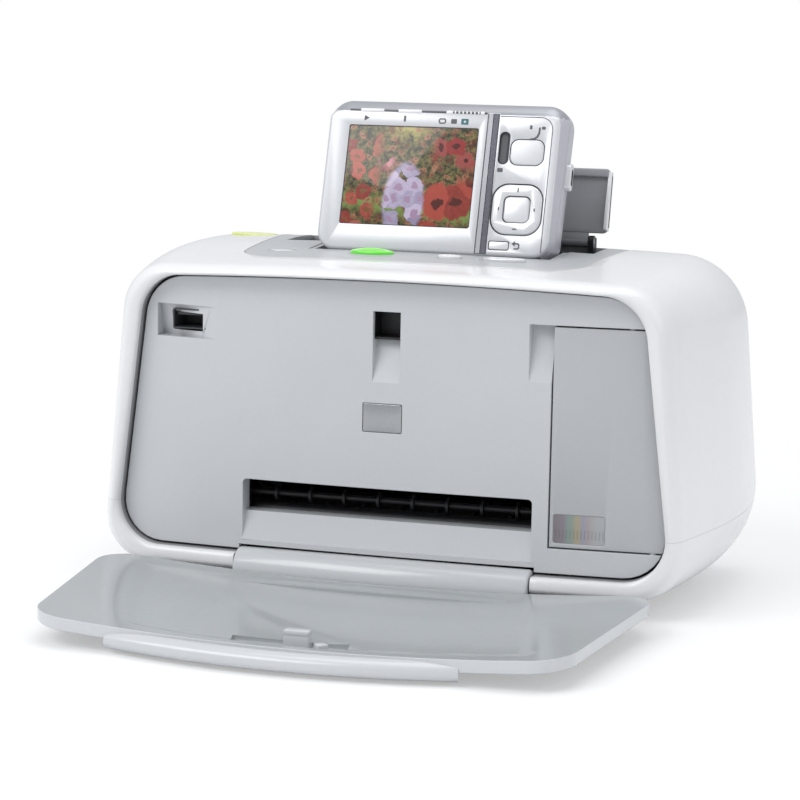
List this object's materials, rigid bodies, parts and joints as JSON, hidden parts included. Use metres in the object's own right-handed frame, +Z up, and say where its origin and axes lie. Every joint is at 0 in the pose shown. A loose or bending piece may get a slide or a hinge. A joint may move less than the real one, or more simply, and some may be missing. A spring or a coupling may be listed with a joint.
{
  "type": "compact photo printer",
  "caption": "Compact photo printer with a fold-down front tray, cartridge door, rear paper lid and a pocket camera docked on its top deck",
  "frame": {"origin": "middle of the footprint with the front tray open, on the floor plane", "axes": "+X to the right of someone facing the front, +Y to the back, +Z up"},
  "size_m": [0.2384, 0.2252, 0.179],
  "materials": {
    "base_shell": "glossy white moulded casing",
    "top_shell": "glossy white moulded casing",
    "front_panel": "satin light grey panel",
    "hinge_brackets": "white brackets",
    "tray_hinge_pins": "bright metal",
    "badge_plate": "bare grey plate",
    "dock_deck": "satin grey deck",
    "dock_cradle": "satin grey cradle",
    "light_window": "lit green window",
    "lid_hinge_pins": "bright metal",
    "input_chute": "black moulded plastic",
    "feet": "black rubber",
    "case_screws": "bright metal",
    "usb_host_port": "bright metal",
    "usb_rear_port": "bright metal",
    "power_inlet": "black moulded plastic",
    "chassis": "bright metal",
    "guide_rod": "bright metal",
    "drive_belt": "black moulded plastic",
    "carriage_motor": "bright metal",
    "encoder_strip": "black moulded plastic",
    "paper_motor": "bright metal",
    "platen": "black moulded plastic",
    "service_station": "black moulded plastic",
    "main_board": "green circuit board",
    "output_tray": "glossy mid grey tray",
    "tray_hook": "grey hook",
    "cartridge_door": "satin grey door",
    "ink_label": "pale plate with plain colour bars",
    "paper_lid": "dark grey lid",
    "paper_guide": "grey guide",
    "lift_plate": "bright metal",
    "carriage": "black moulded plastic",
    "ink_cartridge": "black moulded plastic",
    "cartridge_latch": "black moulded plastic",
    "motor_pulley": "bright metal",
    "idler_pulley": "natural plastic",
    "feed_roller": "black rubber",
    "pinch_rollers": "black moulded plastic",
    "output_roller": "black moulded plastic",
    "star_wheels": "bright metal",
    "idler_gear": "natural plastic",
    "pick_roller": "black rubber",
    "motor_pinion": "bright metal",
    "power_button": "translucent yellow-green key",
    "print_button": "grey key",
    "deck_button": "white key",
    "camera_front_shell": "silver painted shell",
    "camera_back_shell": "silver painted shell",
    "camera_screen": "glossy screen",
    "camera_lens": "dark lens cover",
    "trim_strip": "dark chrome strip",
    "strap_eyelet": "bright metal",
    "zoom_rocker": "silver key",
    "four_way_pad": "silver key",
    "ok_button": "silver key",
    "review_button": "silver key",
    "shutter_button": "silver key",
    "camera_power_button": "silver key",
    "mode_switch": "silver key"
  },
  "bodies": {
    "root": {"base_shell": "base_shell", "top_shell": "top_shell", "front_panel": "front_panel", "hinge_brackets": "hinge_brackets", "tray_hinge_pins": "tray_hinge_pins", "badge_plate": "badge_plate", "dock_deck": "dock_deck", "dock_cradle": "dock_cradle", "light_window": "light_window", "lid_hinge_pins": "lid_hinge_pins", "input_chute": "input_chute", "feet": "feet", "case_screws": "case_screws", "usb_host_port": "usb_host_port", "usb_rear_port": "usb_rear_port", "power_inlet": "power_inlet", "chassis": "chassis", "guide_rod": "guide_rod", "drive_belt": "drive_belt", "carriage_motor": "carriage_motor", "encoder_strip": "encoder_strip", "paper_motor": "paper_motor", "platen": "platen", "service_station": "service_station", "main_board": "main_board"},
    "tray": {"output_tray": "output_tray", "tray_hook": "tray_hook"},
    "door": {"cartridge_door": "cartridge_door", "ink_label": "ink_label"},
    "lid": {"paper_lid": "paper_lid"},
    "guide": {"paper_guide": "paper_guide"},
    "lift": {"lift_plate": "lift_plate"},
    "carriage_unit": {"carriage": "carriage", "ink_cartridge": "ink_cartridge"},
    "latch": {"cartridge_latch": "cartridge_latch"},
    "motor_pulley": {"motor_pulley": "motor_pulley"},
    "idler_pulley": {"idler_pulley": "idler_pulley"},
    "feed": {"feed_roller": "feed_roller"},
    "pinch": {"pinch_rollers": "pinch_rollers"},
    "output": {"output_roller": "output_roller"},
    "stars": {"star_wheels": "star_wheels"},
    "idler": {"idler_gear": "idler_gear"},
    "pick": {"pick_roller": "pick_roller"},
    "pinion": {"motor_pinion": "motor_pinion"},
    "power_key": {"power_button": "power_button"},
    "print_key": {"print_button": "print_button"},
    "menu_key": {"deck_button": "deck_button"},
    "camera": {"camera_front_shell": "camera_front_shell", "camera_back_shell": "camera_back_shell", "camera_screen": "camera_screen", "camera_lens": "camera_lens", "trim_strip": "trim_strip", "strap_eyelet": "strap_eyelet"},
    "zoom": {"zoom_rocker": "zoom_rocker"},
    "pad": {"four_way_pad": "four_way_pad"},
    "ok": {"ok_button": "ok_button"},
    "review": {"review_button": "review_button"},
    "shutter": {"shutter_button": "shutter_button"},
    "camera_power": {"camera_power_button": "camera_power_button"},
    "mode": {"mode_switch": "mode_switch"}
  },
  "joints": [
    {"name": "tray_hinge", "type": "hinge", "parent": "root", "child": "tray", "pos_m": [0, 0.0041, 0.0083], "axis": [-1, 0, 0], "range_deg": [0, 90]},
    {"name": "door_hinge", "type": "hinge", "parent": "root", "child": "door", "pos_m": [0.09317, 0.00963, 0.064], "axis": [0.1218, 0, -0.9925], "range_deg": [-95, 0]},
    {"name": "lid_hinge", "type": "hinge", "parent": "root", "child": "lid", "pos_m": [0, 0.0972, 0.12543], "axis": [1, 0, 0], "range_deg": [0, 104]},
    {"name": "guide_slide", "type": "slide", "parent": "lid", "child": "guide", "axis": [1, 0, 0], "range_m": [0, 0.0126]},
    {"name": "lift_hinge", "type": "hinge", "parent": "root", "child": "lift", "pos_m": [0, 0.08726, 0.092], "axis": [-1, 0, 0], "range_deg": [0, 3.5]},
    {"name": "carriage_slide", "type": "slide", "parent": "root", "child": "carriage_unit", "axis": [1, 0, 0], "range_m": [-0.158, 0]},
    {"name": "latch_hinge", "type": "hinge", "parent": "carriage_unit", "child": "latch", "pos_m": [0.08, 0.0586, 0.0855], "axis": [-1, 0, 0], "range_deg": [0, 40]},
    {"name": "motor_pulley_spin", "type": "hinge", "parent": "root", "child": "motor_pulley", "pos_m": [0.092, 0.0686, 0.06], "axis": [0, 1, 0], "continuous": true},
    {"name": "idler_pulley_spin", "type": "hinge", "parent": "root", "child": "idler_pulley", "pos_m": [-0.092, 0.0686, 0.06], "axis": [0, 1, 0], "continuous": true},
    {"name": "feed_spin", "type": "hinge", "parent": "root", "child": "feed", "pos_m": [0, 0.0553, 0.025], "axis": [1, 0, 0], "continuous": true},
    {"name": "pinch_spin", "type": "hinge", "parent": "root", "child": "pinch", "pos_m": [0, 0.0553, 0.0352], "axis": [1, 0, 0], "continuous": true},
    {"name": "output_spin", "type": "hinge", "parent": "root", "child": "output", "pos_m": [0, 0.019, 0.02763], "axis": [1, 0, 0], "continuous": true},
    {"name": "star_spin", "type": "hinge", "parent": "root", "child": "stars", "pos_m": [0, 0.019, 0.0342], "axis": [1, 0, 0], "continuous": true},
    {"name": "idler_spin", "type": "hinge", "parent": "root", "child": "idler", "pos_m": [-0.104, 0.03471, 0.02649], "axis": [1, 0, 0], "continuous": true},
    {"name": "pick_spin", "type": "hinge", "parent": "root", "child": "pick", "pos_m": [0, 0.06625, 0.04292], "axis": [1, 0, 0], "continuous": true},
    {"name": "pinion_spin", "type": "hinge", "parent": "root", "child": "pinion", "pos_m": [-0.104, 0.06929, 0.02046], "axis": [1, 0, 0], "continuous": true},
    {"name": "power_press", "type": "slide", "parent": "root", "child": "power_key", "axis": [0, 0, -1], "range_m": [0, 0.0006], "stiffness_N_per_m": 800},
    {"name": "print_press", "type": "slide", "parent": "root", "child": "print_key", "axis": [0, 0, -1], "range_m": [0, 0.0006], "stiffness_N_per_m": 800},
    {"name": "menu_press", "type": "slide", "parent": "root", "child": "menu_key", "axis": [0, 0, -1], "range_m": [0, 0.0006], "stiffness_N_per_m": 800},
    {"name": "camera_lift", "type": "slide", "parent": "root", "child": "camera", "axis": [0, 0.309, 0.9511], "range_m": [0, 0.03]},
    {"name": "zoom_rock", "type": "hinge", "parent": "camera", "child": "zoom", "pos_m": [0.037, 0.0577, 0.16061], "axis": [0, 0.309, 0.9511], "range_deg": [-3.5, 3.5], "stiffness_Nm_per_rad": 0.05},
    {"name": "pad_press", "type": "slide", "parent": "camera", "child": "pad", "axis": [0, 0.9511, -0.309], "range_m": [0, 0.0006], "stiffness_N_per_m": 800},
    {"name": "ok_press", "type": "slide", "parent": "camera", "child": "ok", "axis": [0, 0.9511, -0.309], "range_m": [0, 0.0006], "stiffness_N_per_m": 800},
    {"name": "review_press", "type": "slide", "parent": "camera", "child": "review", "axis": [0, 0.9511, -0.309], "range_m": [0, 0.0006], "stiffness_N_per_m": 800},
    {"name": "shutter_press", "type": "slide", "parent": "camera", "child": "shutter", "axis": [0, -0.309, -0.9511], "range_m": [0, 0.0006], "stiffness_N_per_m": 800},
    {"name": "camera_power_press", "type": "slide", "parent": "camera", "child": "camera_power", "axis": [0, -0.309, -0.9511], "range_m": [0, 0.0006], "stiffness_N_per_m": 800},
    {"name": "mode_slide", "type": "slide", "parent": "camera", "child": "mode", "axis": [1, 0, 0], "range_m": [0, 0.003]}
  ],
  "couplings": [
    {"joint": "motor_pulley_spin", "follows": "carriage_slide", "rad_per_m": -166.67},
    {"joint": "idler_pulley_spin", "follows": "carriage_slide", "rad_per_m": -166.67},
    {"joint": "pinch_spin", "follows": "feed_spin", "ratio": -1.5},
    {"joint": "output_spin", "follows": "feed_spin", "ratio": 1.7778},
    {"joint": "star_spin", "follows": "feed_spin", "ratio": -2},
    {"joint": "idler_spin", "follows": "feed_spin", "ratio": -1.1852},
    {"joint": "pick_spin", "follows": "feed_spin", "ratio": -1.1429},
    {"joint": "pinion_spin", "follows": "feed_spin", "ratio": -3.2}
  ]
}
